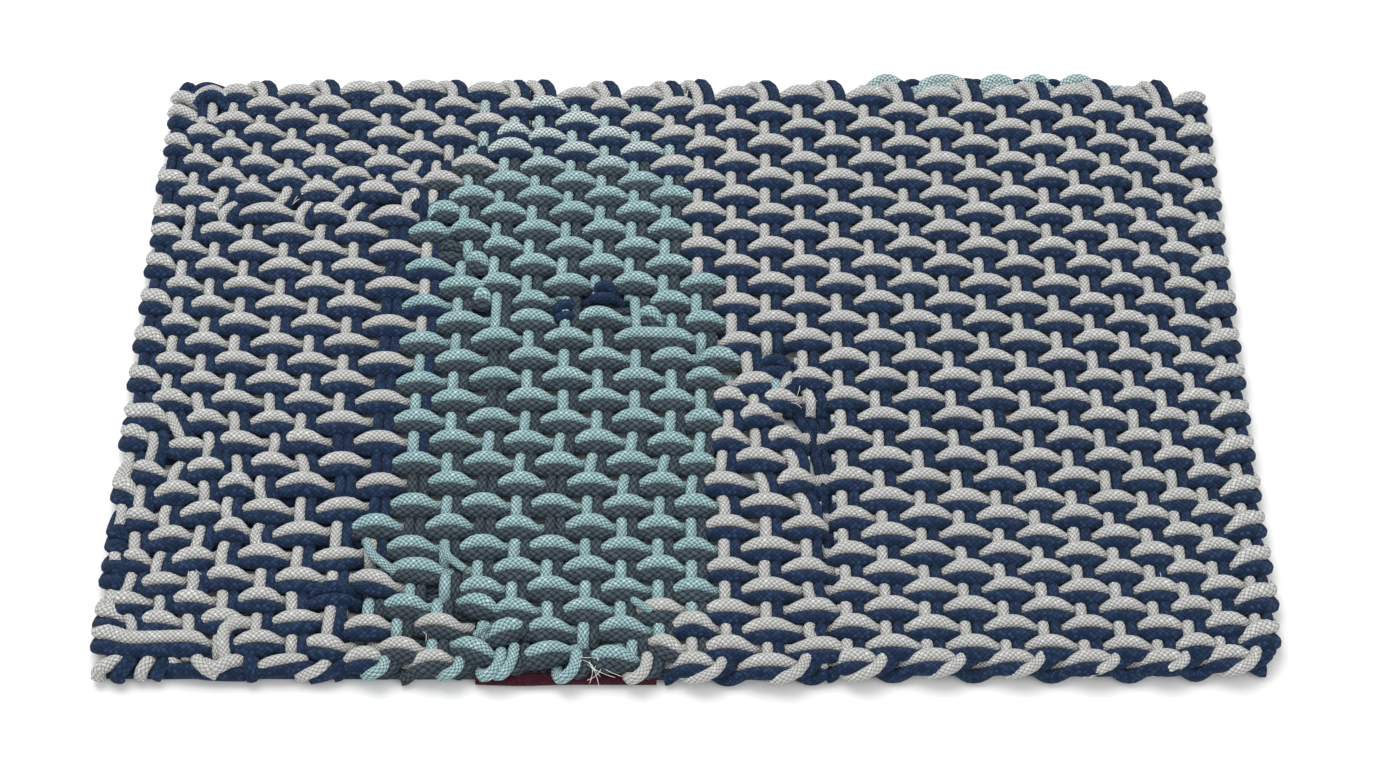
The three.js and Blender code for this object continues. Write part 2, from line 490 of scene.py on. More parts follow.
STRANDS: tuple[Strand, ...] = (
    # The corner on the near left
    Strand(Dye.GREY, 11.6, ((24, 586, 6), (17, 592, 12.5), (6, 598, 11.5), (4, 603, 5.5))),
    Strand(Dye.NAVY, 12.0, ((31, 584, 6), (27, 593, 12.5), (21, 601, 11), (19, 604, 6))),
    Strand(Dye.GREY, 10.4, ((44, 586, 6), (42, 592, 12.5), (38, 599, 11.5), (36, 602, 5.5))),
    Strand(Dye.NAVY, 11.0, ((57, 585, 6), (54, 593, 11), (50, 599, 9), (47, 602, 5.5))),
    Strand(Dye.GREY, 8.8, ((55, 590, 7), (60, 591, 11), (66, 595, 7))),
    Strand(Dye.NAVY, 11.0, ((58, 596, 9), (72, 598, 9.5), (92, 600, 8), (116, 600, 7))),
    Strand(Dye.GREY, 10.6, ((78, 585, 8), (80, 592, 13), (86, 598, 13), (95, 601, 8))),
    Strand(Dye.GREY, 11.0, ((84, 592, 9), (94, 598, 13.5), (104, 593, 14), (116, 588, 8))),
    Strand(Dye.GREY, 10.2, ((116, 558, 11), (107, 560, 16), (99, 566, 17), (98, 577, 16.5), (101, 592, 12))),
    Strand(Dye.NAVY, 11.2, ((119, 582, 6), (120, 591, 13), (121, 600, 12), (122, 603, 6))),
    Strand(Dye.GREY, 9.8, ((126, 596, 8), (136, 593, 13.5), (150, 590, 13), (162, 588, 8))),
    Strand(Dye.NAVY, 10.6, ((122, 598, 7), (140, 599, 10), (158, 596, 10), (172, 592, 6))),
    Strand(Dye.GREY, 9.8, ((178, 589, 7), (177, 595, 13), (170, 600, 12), (156, 602, 6))),
    Strand(Dye.NAVY, 10.6, ((190, 589, 6), (188, 596, 11), (178, 601, 9), (166, 602, 5.5))),
    # The corner on the far left
    Strand(Dye.NAVY, 14.0, ((8, 22, 7), (9, 13, 9), (11, 9, 9), (12, 14, 7))),
    Strand(Dye.GREY, 11.6, ((0, 22, 7), (4, 20, 11.5), (13, 23, 12.5), (26, 31, 8))),
    Strand(Dye.GREY, 11.6, ((-1, 37, 6), (4, 36, 12), (13, 40, 12.5), (25, 47, 8))),
    Strand(Dye.NAVY, 12.6, ((1, 47, 6), (5, 50, 12), (14, 54, 12), (27, 56, 8))),
    Strand(Dye.NAVY, 10.6, ((4, 58, 7), (8, 64, 10), (14, 66, 9), (20, 64, 7))),
    Strand(Dye.NAVY, 9.6, ((25, 24, 9), (26, 32, 12), (27, 44, 12.5), (28, 60, 8))),
    Strand(Dye.GREY, 9.2, ((34, 24, 8), (35, 36, 12.5), (36, 50, 12.5), (37, 62, 7))),
    Strand(Dye.NAVY, 10.0, ((15, 22, 9), (19, 15, 13), (28, 10, 13), (42, 12, 9))),
    Strand(Dye.GREY, 8.0, ((18, 24, 12), (24, 18, 15), (34, 15, 16), (44, 22, 15), (54, 35, 11))),
    Strand(Dye.NAVY, 13.0, ((20, 30, 10), (28, 24, 14), (38, 24, 14.5), (54, 37, 9))),
    # Loose ends and turned-up bits in the aqua weave
    Strand(Dye.AQUA, 7.5, ((200, 482, 9), (203, 488, 17.5), (206, 498, 19), (215, 506, 18), (226, 513, 14))),
    Strand(Dye.AQUA, 6.5, ((262, 487, 10), (264, 492, 17), (267, 501, 18), (280, 510, 14))),
    Strand(Dye.AQUA, 6.0, ((291, 570, 14), (296, 566, 18), (302, 563, 19))),
    Strand(Dye.AQUA, 6.5, ((411, 538, 15), (418, 545, 18.5), (426, 550, 17))),
    # The cord that shows under the near edge
    Strand(
        Dye.MAROON,
        10.0,
        ((292, 602, 5.2), (326, 603, 5.2), (360, 602, 5.2), (395, 602, 5.2), (430, 602, 5.2)),
    ),
)


@dataclass(frozen=True)
class Fray:
    """A tuft of loose white fibre: where it starts, which way it leans, and how many hairs it has.

    The jitters say how much the hairs differ. Each hair arches up by arch, and its tip droops by droop.
    """

    across: float
    deep: float
    lean: float
    length: float
    hairs: int
    height: float = 15.5
    lean_jitter: float = 24.0
    turn_jitter: float = 0.9
    length_jitter: float = 0.4
    place_jitter: float = 3.0
    arch: float = 2.6
    droop: float = 1.2
    points: int = 9


FRAYS: tuple[Fray, ...] = (
    Fray(533, 354, 12, 14, 1), Fray(823, 510, 62, 13, 1), Fray(379, 592, 52, 20, 4),
    Fray(386, 596, 58, 16, 4), Fray(372, 590, 40, 14, 3), Fray(65, 509, 88, 13, 2),
    Fray(493, 76, 120, 13, 4), Fray(495, 84, 65, 13, 4), Fray(385, 588, 75, 12, 3),
    Fray(546, 330, 70, 17, 2), Fray(120, 137, 100, 9, 2), Fray(155, 171, 40, 10, 2),
    Fray(868, 445, 10, 9, 1), Fray(846, 512, 95, 9, 1), Fray(250, 566, 35, 11, 2),
    Fray(148, 553, 15, 12, 2),
)


@dataclass
class Run:
    """One length of cord: the points it follows and its half widths and heights there, in metres."""

    points: np.ndarray
    widths: np.ndarray
    heights: np.ndarray
    dye: Dye
    fade: float = 0.0

    @classmethod
    def along(
        cls,
        across: np.ndarray,
        deep: np.ndarray,
        height: np.ndarray,
        thick: float,
        dye: Dye,
        fade: float = 0.0,
    ) -> "Run":
        """Makes an evenly thick run through places on the rug, in millimetres.

        Args:
            across: the places' distances from the left edge.
            deep: their distances from the far edge.
            height: their heights above the floor.
            thick: the cord's diameter.
            dye: its colour.
            fade: how far it is faded, from 0 to 1.

        Returns:
            The run.
        """
        half = np.full(len(across), thick / 2 * MM)
        return cls(SIZES.world(across, deep, height), half, half, dye, fade)

    @property
    def length(self) -> float:
        """Its length in metres."""
        return float(np.linalg.norm(np.diff(self.points, axis=0), axis=1).sum())


@dataclass(frozen=True)
class Knot:
    """A place that a pair of cords passes: level is 1 over, -1 under and 0 between."""

    across: float
    deep: float
    level: float

    def moved(self, across: float, deep: float, level: float | None = None) -> "Knot":
        """Gives a knot beside this one, at its own level or another."""
        return Knot(self.across + across, self.deep + deep, self.level if level is None else level)


def hermite(values: np.ndarray, steps: int) -> np.ndarray:
    """Joins values by smooth curves.

    Args:
        values: one row for each knot.
        steps: how many steps to take between two knots.

    Returns:
        The values along the curve, from the first knot to the last.
    """
    slopes = np.gradient(values, axis=0)
    share = np.arange(steps)[:, None] / steps
    blocks = []
    for k in range(len(values) - 1):
        cubic = (
            (2 * share**3 - 3 * share**2 + 1) * values[k]
            + (share**3 - 2 * share**2 + share) * slopes[k]
            + (-2 * share**3 + 3 * share**2) * values[k + 1]
            + (share**3 - share**2) * slopes[k + 1]
        )
        blocks.append(cubic)
    return np.vstack([*blocks, values[-1:]])


@dataclass(frozen=True)
class EdgeHumps:
    """The pale cord that shows in humps beyond the far edge, with a dark bit of cord between two of them.

    Humps are given as (across, half width), and pale cords as (deep, bulge, height, rise). The bits' deep and
    height are given with how much they change towards a bit's ends.
    """

    start: float = 604.0
    end: float = 838.0
    step: float = 2.5
    cords: tuple[tuple[float, float, float, float], ...] = ((7.5, 8.0, 5.6, 6.4), (11.0, 5.0, 5.2, 4.0))
    thick: float = 10.8
    humps: tuple[Plan, ...] = ((628, 17), (679, 27), (726, 19), (760, 15), (797, 18))
    bits: tuple[float, ...] = (651, 707, 743, 775, 812)
    bit_reach: float = 8.0
    bit_points: int = 12
    bit_thick: float = 8.4
    bit_deep: Plan = (2.5, 3.0)
    bit_height: Plan = (10.5, 3.5)
    fade: float = 0.35

    def rise(self, across: np.ndarray) -> np.ndarray:
        """Gives how far the cord bulges at places across, from 0 to 1."""
        bulges = [np.cos(np.clip((across - middle) / half, -1, 1) * np.pi / 2) for middle, half in self.humps]
        return np.max(bulges, axis=0)

    def runs(self) -> list[Run]:
        """Lays the two pale cords and the dark bits.

        Returns:
            Their runs.
        """
        across = np.arange(self.start, self.end, self.step)
        rise = self.rise(across)
        runs = [
            Run.along(across, deep - bulge * rise, height + lift * rise, self.thick, Dye.AQUA, self.fade)
            for deep, bulge, height, lift in self.cords
        ]
        for middle in self.bits:
            bit = np.linspace(middle - self.bit_reach, middle + self.bit_reach, self.bit_points)
            drop = ((bit - middle) / self.bit_reach) ** 2
            deep = self.bit_deep[0] + self.bit_deep[1] * drop
            height = self.bit_height[0] - self.bit_height[1] * drop
            runs.append(Run.along(bit, deep, height, self.bit_thick, Dye.NAVY))
        return runs


def level_curve(levels: np.ndarray, steps: int, square: float, bias: float) -> np.ndarray:
    """Swings between levels.

    Args:
        levels: the level at each knot.
        steps: how many steps to take between two knots.
        square: how long it stays flat at a knot.
        bias: how much longer it stays up than down.

    Returns:
        The level at each step, from the first knot to the last.
    """
    swing = np.cos(np.pi * np.arange(steps) / steps)
    low, high = math.tanh(square * (bias - 1)), math.tanh(square * (bias + 1))
    falling = (np.tanh(square * (swing + bias)) - low) / (high - low)
    rising = (np.tanh(square * (bias - swing)) - low) / (high - low)
    blocks = []
    for start, end in zip(levels[:-1], levels[1:]):
        blocks.append(end + (start - end) * falling if start > end else start + (end - start) * rising)
    return np.concatenate([*blocks, levels[-1:]])


@dataclass(frozen=True)
class PairShape:
    """How a pair of cords lies: apart over a crossing, pressed together between two.

    Square is how long it stays flat at a crossing, and bias how much longer it stays up than down.
    """

    steps: int
    swing: float
    apart_over: float
    apart_between: float
    wide_over: float
    wide_between: float
    tall: float
    tilt: float
    square: float
    bias: float

    def spread(self, level: np.ndarray) -> np.ndarray:
        """Gives how far the cords are spread at a level: 1 over or under a crossing, 0 between two."""
        return np.clip(np.abs(level), 0, 1) ** 1.5


WEFT_SHAPE = PairShape(
    steps=7,
    swing=5.3,
    apart_over=5.8,
    apart_between=3.6,
    wide_over=12.0,
    wide_between=8.4,
    tall=9.6,
    tilt=0.3,
    square=1.0,
    bias=0.35,
)
WARP_SHAPE = PairShape(
    steps=6,
    swing=3.4,
    apart_over=4.7,
    apart_between=4.7,
    wide_over=9.2,
    wide_between=9.2,
    tall=9.0,
    tilt=0.0,
    square=1.5,
    bias=0.2,
)


@dataclass(frozen=True)
class EndLoop:
    """How a warp turns down and back under itself at one end of the rug.

    Way is -1 at the far edge and 1 at the near one, swing is how far to the left the warp comes back, and
    it falls between two shares of the turn.
    """

    way: int
    swing: float
    fan: float
    top: float
    fall: Plan


FAR_LOOP = EndLoop(way=-1, swing=15, fan=0.15, top=1.0, fall=(0.0, 1.0))
NEAR_LOOP = EndLoop(way=1, swing=30, fan=0.3, top=1.2, fall=(0.28, 0.78))
MENDED_LOOP = EndLoop(way=1, swing=15, fan=0.3, top=1.15, fall=(0.35, 0.8))


@dataclass(frozen=True)
class SideTurn:
    """How a row turns down and back under itself at one side of the rug."""

    way: int
    edge: float
    rise: float
    back: float
    fan: float = 1.35
    extra_fan: float = 0.2


LEFT_TURN = SideTurn(way=-1, edge=SIZES.left_edge, rise=2.5, back=4.0)
RIGHT_TURN = SideTurn(way=1, edge=SIZES.right_edge, rise=3.5, back=5.5)

DyeAt = Callable[[float, float, Side], tuple[Dye, float]]


@dataclass(frozen=True)
class Course:
    """The way of one pair of cords.

    Lead and tail are its turned ends, as rows of across, deep, level and spread. Aside is how far each cord
    of a warp lies to the side, and dark_sink how much lower its dark cord lies.
    """

    knots: list[Knot]
    shape: PairShape
    dye_at: DyeAt
    lead: np.ndarray | None = None
    tail: np.ndarray | None = None
    aside: dict[Side, float] = field(default_factory=lambda: {Side.PALE: -1.0, Side.DARK: 7.5})
    dark_sink: float = 1.2

    def path(self) -> tuple[np.ndarray, list[int]]:
        """Joins the knots and the turned ends.

        Returns:
            Rows of across, deep, level and spread, and the numbers of the rows where the pair lies over.
        """
        steps = self.shape.steps
        middle = hermite(np.array([[knot.across, knot.deep] for knot in self.knots]), steps)
        levels = np.array([knot.level for knot in self.knots])
        level = level_curve(levels, steps, self.shape.square, self.shape.bias)
        overs = [k * steps for k, knot in enumerate(self.knots) if knot.level > 0.5]
        path = np.column_stack([middle, level, self.shape.spread(level)])
        if self.lead is not None:
            path[:steps, 3] *= np.linspace(self.lead[0, 3], 1, steps)
            path = np.vstack([self.lead[::-1], path])
            overs = [k + len(self.lead) for k in overs]
        if self.tail is not None:
            path[-steps:, 3] *= np.linspace(1, self.tail[0, 3], steps)
            path = np.vstack([path, self.tail])
        return path, overs


@dataclass(frozen=True)
class Fading:
    """How far aqua is faded: by most at the far edge, less from start on, and not at all past end."""

    most: float
    start: float
    end: float

    def at(self, deep: float) -> float:
        """Gives how far it is faded at a distance from the far edge, from 0 to 1."""
        return self.most * float(1 - smooth_step(self.start, self.end, deep))


WEFT_FADING = Fading(0.8, 70, 130)
WARP_FADING = Fading(0.4, 60, 150)


def weft_dye(across: float, deep: float, side: Side) -> tuple[Dye, float]:
    """Gives the colour of a weft cord.

    Args:
        across: a crossing's distance from the left edge.
        deep: its distance from the far edge.
        side: which cord of the pair it is.

    Returns:
        The colour, and how far it is faded there, from 0 to 1.
    """
    if side is Side.DARK:
        return (Dye.CHARCOAL if CHARCOAL_WEFT.holds(across, deep) else Dye.NAVY), 0.0
    if any(math.dist(spot, (across, deep)) < DARK_SPOT_REACH for spot in DARK_SPOTS):
        return Dye.NAVY, 0.0
    if not AQUA_WEFT.holds(across, deep):
        return Dye.GREY, 0.0
    return Dye.AQUA, WEFT_FADING.at(deep)


def warp_dye(across: float, deep: float, side: Side) -> tuple[Dye, float]:
    """Gives the colour of a warp cord.

    Args:
        across: a crossing's distance from the left edge.
        deep: its distance from the far edge.
        side: which cord of the pair it is.

    Returns:
        The colour, and how far it is faded there, from 0 to 1.
    """
    if side is Side.DARK or any(patch.holds(across, deep) for patch in DARK_WARPS):
        return (Dye.CHARCOAL if CHARCOAL_WARP.holds(across, deep) else Dye.NAVY), 0.0
    if not AQUA_WARP.holds(across, deep):
        return Dye.GREY, 0.0
    return Dye.AQUA, WARP_FADING.at(deep)


@dataclass
class Weaver:
    """Lays every pair of cords through the weave, and cuts each where its colour changes.

    Sizes are in millimetres. A cord that meets no edge is tucked a little way past its last crossing, and
    one that lies under there less far, by the share half_tuck. No crossing lies closer to the far left
    corner's edges than least, and crossings and turns are jittered by the fields of that name.
    """

    seed: int
    turn_steps: int = 8
    at_side: float = 20.0
    at_far: float = 32.0
    at_near: float = 30.0
    weft_tuck: float = 22.0
    warp_tuck: float = 13.0
    half_tuck: float = 0.55
    tuck_level: float = -0.2
    warp_tuck_level: float = -0.9
    least: Plan = (3.0, 4.0)
    across_jitter: float = 0.9
    deep_jitter: float = 1.2
    level_jitter: float = 0.05
    turn_jitter: float = 1.2
    swell: float = 0.05
    swell_pitch: float = 0.11
    rest_shift: dict[Side, float] = field(default_factory=lambda: {Side.PALE: 1.0, Side.DARK: 0.6})
    near_knot_shift: Plan = (-3.0, -7.0)
    mended_knot_rise: float = -10.0
    loose_deep: dict[Side, float] = field(default_factory=lambda: {Side.PALE: 8.0, Side.DARK: -13.0})
    loose_level: dict[Side, float] = field(default_factory=lambda: {Side.PALE: 3.0, Side.DARK: -1.5})
    hair: float = 0.32
    backing_step: float = 7.0
    backing_height: float = 4.6
    backing_thick: float = 8.4
    backing_margin: float = 7.0
    backing_wave: Plan = (0.3, 9.0)
    runs: list[Run] = field(default_factory=list)

    def __post_init__(self) -> None:
        """Starts the seeded chance."""
        self.chance = np.random.default_rng(self.seed)

    def jitter(self, reach: float) -> float:
        """Gives a small random shift, mostly less than reach."""
        return float(self.chance.normal(0, reach / 2))

    def weave_all(self) -> list[Run]:
        """Lays the wefts and warps of all stretches, and what is laid by itself.

        Returns:
            Every run of cord.
        """
        for weave in WEAVES:
            self.lay_wefts(weave)
            self.lay_warps(weave)
        for stitch in STITCHES:
            self.lay_stitch(stitch)
        for strand in STRANDS:
            self.lay_strand(strand)
        for fray in FRAYS:
            self.lay_fray(fray)
        self.runs.extend(EdgeHumps().runs())
        for backing in BACKINGS:
            self.lay_backing(backing)
        return self.runs

    def lay_strand(self, strand: Strand) -> None:
        """Lays one short cord by itself."""
        across, deep, height = hermite(np.array(strand.places, dtype=float), WEFT_SHAPE.steps).T
        self.runs.append(Run.along(across, deep, height, strand.thick, strand.dye))

    def lay_fray(self, fray: Fray) -> None:
        """Lays the curved hairs of one tuft of loose fibre.

        Args:
            fray: the tuft.
        """
        along = np.linspace(0, 1, fray.points)
        for _ in range(fray.hairs):
            lean = math.radians(fray.lean + self.jitter(fray.lean_jitter))
            turn = lean + self.jitter(fray.turn_jitter) * along
            reach = fray.length * (1 + self.jitter(fray.length_jitter)) * along
            across = fray.across + self.jitter(fray.place_jitter) + reach * np.cos(turn)
            deep = fray.deep + self.jitter(fray.place_jitter) + reach * np.sin(turn)
            height = fray.height + fray.arch * np.sin(np.pi * along) - fray.droop * along
            self.runs.append(Run.along(across, deep, height, self.hair, Dye.WHITE))

    def lay_stitch(self, stitch: Stitch) -> None:
        """Lays one crossing whose ends go under on both sides, or turn under at the near edge.

        Args:
            stitch: the crossing.
        """
        across = 0.0 if stitch.upright else stitch.reach
        deep = stitch.reach if stitch.upright else stitch.slope * stitch.reach
        top = Knot(stitch.across, stitch.deep, 1.0)
        knots = [top.moved(-across, -deep, -1.0), top, top.moved(across, deep, -1.0)]
        tail = None
        if stitch.upright and stitch.deep + stitch.reach > near_edge(stitch.across) - 4:
            top = top.moved(0.0, self.mended_knot_rise)
            knots = [knots[0], top]
            tail = self.end_loop(top, MENDED_LOOP)

        def dye_at(across: float, deep: float, side: Side) -> tuple[Dye, float]:
            """Gives the stitch's own colours."""
            return (stitch.pale if side is Side.PALE else stitch.dark), 0.0

        self.cut_pair(Course(knots, WARP_SHAPE if stitch.upright else WEFT_SHAPE, dye_at, tail=tail))

    def lay_backing(self, backing: Backing) -> None:
        """Lays tucked cords low along a line where two stretches meet.

        Args:
            backing: the line, with its cords.
        """
        corners = np.array(backing.line, dtype=float)
        lengths = np.concatenate([[0.0], np.cumsum(np.hypot(*np.diff(corners, axis=0).T))])
        along = np.arange(0.0, lengths[-1], self.backing_step)
        across, deep = (np.interp(along, lengths, places) for places in corners.T)
        width, depth = np.abs(corners[-1] - corners[0])
        for shift in backing.shifts:
            side_x, side_y = (shift, 0.0) if depth > width else (0.0, shift)
            inside = np.abs(deep + side_y - SIZES.depth / 2) < SIZES.depth / 2 - self.backing_margin
            wave, wave_length = self.backing_wave
            height = self.backing_height + wave * np.sin(along / wave_length + shift)
            places = ((across + side_x)[inside], (deep + side_y)[inside], height[inside])
            self.runs.append(Run.along(*places, self.backing_thick, backing.dye))

    @staticmethod
    def spans(knots: Iterable[Knot | None]) -> Iterator[list[Knot]]:
        """Cuts a line of knots at its gaps.

        Args:
            knots: the knots in order, with None for a gap.

        Returns:
            Each stretch of two knots or more, or of one that lies over.
        """
        for present, group in itertools.groupby(knots, key=lambda knot: knot is not None):
            span = list(group)
            if present and (len(span) > 1 or span[0].level > 0):
                yield span

    def crossing(self, weave: Weave, warp: int, row: int) -> Knot | None:
        """Finds the place where a row crosses a warp.

        Args:
            weave: the stretch.
            warp: the number of the warp pair.
            row: the number of the row.

        Returns:
            The weft's knot, or None outside the stretch.
        """
        guess = float(np.interp(row, *np.array(weave.row_marks).T))
        across = weave.warp_across(warp, guess)
        deep = weave.row_deep(row, across)
        across = weave.warp_across(warp, deep)
        inside = weave.patch.holds(across, deep) or (warp, row) in weave.more
        if across < self.least[0] or deep < self.least[1] or not inside or (warp, row) in weave.gone:
            return None
        level = 1.0 if weave.weft_over(warp, row) else -1.0
        move_x, move_y = weave.moves.get((warp, row), (0.0, 0.0))
        return Knot(
            across + move_x + self.jitter(self.across_jitter),
            deep + move_y + self.jitter(self.deep_jitter),
            level + self.jitter(self.level_jitter),
        )

    def lay_wefts(self, weave: Weave) -> None:
        """Lays each row of a stretch, from left to right.

        Args:
            weave: the stretch.
        """
        for row in weave.rows:
            for span in self.spans([self.crossing(weave, warp, row) for warp in weave.warps]):
                self.finish_weft(weave, row, span)

    def finish_weft(self, weave: Weave, row: int, span: list[Knot]) -> None:
        """Adds the turns or tucked ends of a row, and cuts the pair into runs.

        Args:
            weave: the stretch.
            row: the number of the row.
            span: its knots, from left to right.
        """
        knots = list(span)
        at_left = span[0].across < self.at_side
        at_right = span[-1].across > SIZES.width - self.at_side
        if at_left and span[0].level > 0:
            knots[0] = span[0].moved(0.0, -LEFT_TURN.back)
        if at_right and span[-1].level > 0:
            knots[-1] = span[-1].moved(0.0, -RIGHT_TURN.back)
        lead = self.side_turn(weave, row, knots[0], LEFT_TURN) if at_left else None
        tail = self.side_turn(weave, row, knots[-1], RIGHT_TURN) if at_right else None
        if not at_left:
            knots.insert(0, self.tucked(knots[0], -1))
        if not at_right:
            knots.append(self.tucked(knots[-1], 1))
        self.cut_pair(Course(knots, WEFT_SHAPE, weft_dye, lead, tail))

    def tucked(self, knot: Knot, way: int) -> Knot:
        """Gives the hidden end of a row past its last crossing.

        Args:
            knot: the last crossing.
            way: -1 to the left, 1 to the right.

        Returns:
            The end's knot.
        """
        if knot.level > 0:
            return knot.moved(way * self.weft_tuck, 0.0, -1.0)
        return knot.moved(way * self.weft_tuck * self.half_tuck, 0.0, self.tuck_level)

    def side_turn(self, weave: Weave, row: int, knot: Knot, turn: SideTurn) -> np.ndarray | None:
        """Turns a row that lies over the outermost warp down and back under it.

        Args:
            weave: the stretch that the row belongs to.
            row: the number of the row.
            knot: the place where the row crosses that warp.
            turn: the way it turns.

        Returns:
            Rows of across, deep, level and spread, from the crossing outwards, or None where it lies under.
        """
        if knot.level < 0:
            return None
        before = weave.row_deep(row - 1, knot.across) if row > weave.rows[0] else knot.deep - 15
        reach = abs(turn.edge - knot.across) - SIZES.cord / 2 + self.jitter(self.turn_jitter)
        share = np.arange(1, self.turn_steps + 1) / self.turn_steps
        bulge = np.sin(np.pi * share)
        across = knot.across + turn.way * reach * bulge
        deep = knot.deep - turn.rise * bulge**2 + (before - knot.deep) * smooth_step(0.35, 1, share)
        level = knot.level * np.cos(np.pi * share)
        return np.column_stack([across, deep, level, turn.fan + turn.extra_fan * bulge])

    def lay_warps(self, weave: Weave) -> None:
        """Lays each warp of a stretch, from far to near.

        Args:
            weave: the stretch.
        """
        for warp in weave.warps:
            knots = [self.crossing(weave, warp, row) for row in weave.rows]
            for span in self.spans([knot and knot.moved(0.0, 0.0, -knot.level) for knot in knots]):
                self.finish_warp(weave, span)

    def finish_warp(self, weave: Weave, span: list[Knot]) -> None:
        """Adds the loops or tucked ends of a warp, and cuts the pair into runs.

        Args:
            weave: the stretch.
            span: the warp's knots, from far to near.
        """
        knots = list(span)
        at_far = span[0].deep < self.at_far
        at_near = span[-1].deep > near_edge(span[-1].across) - self.at_near
        if at_near and span[-1].level > 0:
            knots[-1] = span[-1].moved(*self.near_knot_shift)
        lead = self.end_loop(knots[0], FAR_LOOP) if at_far else None
        tail = self.end_loop(knots[-1], NEAR_LOOP) if at_near else None
        if not at_far:
            level = self.warp_tuck_level if knots[0].level > 0 else self.tuck_level
            knots.insert(0, knots[0].moved(0.0, -self.warp_tuck, level))
        if not at_near:
            level = self.warp_tuck_level if knots[-1].level > 0 else self.tuck_level
            knots.append(knots[-1].moved(0.0, self.warp_tuck, level))
        self.cut_pair(Course(knots, WARP_SHAPE, warp_dye, lead, tail, weave.aside, weave.dark_sink))

    def end_loop(self, knot: Knot, loop: EndLoop) -> np.ndarray | None:
        """Turns a warp that lies over the outermost row down and back under it, towards the left.

        Args:
            knot: the place where the warp crosses that row.
            loop: the way it turns.

        Returns:
            Rows of across, deep, level and spread, from the crossing outwards, or None where the warp lies
            under.
        """
        if knot.level < 0:
            return None
        edge = 0.0 if loop.way < 0 else near_edge(knot.across)
        reach = abs(edge - knot.deep) - SIZES.cord / 2 + self.jitter(self.turn_jitter)
        share = np.arange(1, self.turn_steps + 1) / self.turn_steps
        bulge = np.sin(np.pi * share)
        deep = knot.deep + loop.way * reach * bulge
        across = knot.across - loop.swing * smooth_step(0.0, 0.85, share)
        level = loop.top - (loop.top + 1) * smooth_step(*loop.fall, share)
        return np.column_stack([across, deep, level, 1 + loop.fan * bulge])

    def cut_pair(self, course: Course) -> None:
        """Shapes both cords of a pair and cuts each wherever it goes under and its colour changes.

        Args:
            course: the pair's way.
        """
        path, overs = course.path()
        overs = overs or [len(path) // 2]
        middles = [(a + b) // 2 for a, b in zip(overs[:-1], overs[1:])]
        for side in Side:
            points, wide, tall = self.cord_points(path, course, side)
            dyes = [course.dye_at(path[k, 0], path[k, 1], side) for k in overs]
            begin = 0
            for k, (dye, fade) in enumerate(dyes):
                last = k == len(dyes) - 1
                if not last and dyes[k + 1] == (dye, fade):
                    continue
                end = len(path) - 1 if last else middles[k]
                cut = slice(begin, end + 1)
                self.runs.append(Run(points[cut], wide[cut], tall[cut], dye, fade))
                begin = end

    def cord_points(
        self, path: np.ndarray, course: Course, side: Side
    ) -> tuple[np.ndarray, np.ndarray, np.ndarray]:
        """Moves one cord of a pair off the pair's middle line.

        Args:
            path: rows of across, deep, level and spread.
            course: the pair's way.
            side: which cord of the pair it is.

        Returns:
            The cord's points, half widths and half heights, in metres.
        """
        shape = course.shape
        across, deep, level, spread = path.T
        sink = 0.0
        if shape is WARP_SHAPE:
            loose = np.maximum(spread - 1, 0)
            across = across + course.aside[side] * (1 + loose)
            deep = deep + self.loose_deep[side] * loose
            level = level + self.loose_level[side] * loose
            sink = course.dark_sink if side is Side.DARK else 0.0
        else:
            rest = np.maximum(1 - spread, 0)
            apart = shape.apart_between + (shape.apart_over - shape.apart_between) * spread
            deep = deep + side.value * apart + rest * self.rest_shift[side]
        over = np.clip(level, 0, 1)
        height = SIZES.layer_middle + shape.swing * level - (side.value * shape.tilt + sink) * over
        start = self.chance.uniform(0, math.tau)
        swell = 1 + self.swell * np.sin(np.arange(len(path)) * self.swell_pitch + start)
        wide = (shape.wide_between + (shape.wide_over - shape.wide_between) * spread) * swell
        tall = np.full_like(wide, shape.tall) * swell
        return SIZES.world(across, deep, height), wide * MM / 2, tall * MM / 2


class Sock:
    """Wraps a socket so that shader maths reads as plain expressions."""

    def __init__(self, shader: "Shader", socket: bpy.types.NodeSocket) -> None:
        """Takes the material's builder and one of its output sockets."""
        self.shader = shader
        self.socket = socket

    def _math(self, operation: str, other: "Sock | float" = 0.0) -> "Sock":
        """Adds a Math node with this value first."""
        return self.shader.node("ShaderNodeMath", {"operation": operation}, {0: self, 1: other})

    def __add__(self, other: "Sock | float") -> "Sock":
        """Adds."""
        return self._math("ADD", other)

    __radd__ = __add__

    def __mul__(self, other: "Sock | float") -> "Sock":
        """Multiplies."""
        return self._math("MULTIPLY", other)

    __rmul__ = __mul__

    def __sub__(self, other: "Sock | float") -> "Sock":
        """Takes away."""
        return self._math("SUBTRACT", other)

    def __rsub__(self, other: float) -> "Sock":
        """Takes this value away from another."""
        return self.shader.node("ShaderNodeMath", {"operation": "SUBTRACT"}, {0: other, 1: self})

    def fract(self) -> "Sock":
        """Gives the part after the point."""
        return self._math("FRACT")

    def floor(self) -> "Sock":
        """Rounds down."""
        return self._math("FLOOR")

    def wave(self) -> "Sock":
        """Rises from 0 to 1 and back over each unit."""
        return self._math("PINGPONG", 0.5) * 2.0

    def above(self, edge: float) -> "Sock":
        """Gives 1 past the edge and 0 before it."""
        return self._math("GREATER_THAN", edge)

    def ramp(self, start: float, end: float) -> "Sock":
        """Rises smoothly from 0 at start to 1 at end."""
        sockets = {"Value": self, "From Min": start, "From Max": end}
        return self.shader.node("ShaderNodeMapRange", {"interpolation_type": "SMOOTHSTEP"}, sockets)

    def output(self, name: str) -> "Sock":
        """Gives another output of the same node."""
        return Sock(self.shader, self.socket.node.outputs[name])


Value = Sock | float | Colour


